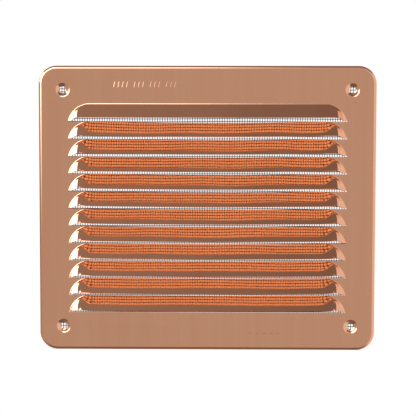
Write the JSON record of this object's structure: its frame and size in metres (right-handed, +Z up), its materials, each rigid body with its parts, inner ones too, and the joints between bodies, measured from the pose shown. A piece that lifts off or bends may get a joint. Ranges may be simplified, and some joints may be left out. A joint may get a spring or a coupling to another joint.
{
  "type": "louvred ventilation grille",
  "caption": "Surface-mounted copper ventilation grille: a pressed plate with rain-shedding louvre hoods, rolled edge, corner screw holes and an insect mesh behind.",
  "frame": {"origin": "on the wall plane, at the middle of the rear face of the lower hem", "axes": "+Z up, +Y into the wall the grille is screwed to, the louvres face -Y"},
  "size_m": [0.195, 0.0108, 0.165],
  "materials": {
    "copper": null,
    "aluminium_wire": "dull grey drawn wire, woven"
  },
  "bodies": {
    "root": {"louvred_plate": "copper", "insect_mesh": "aluminium_wire"}
  },
  "joints": []
}
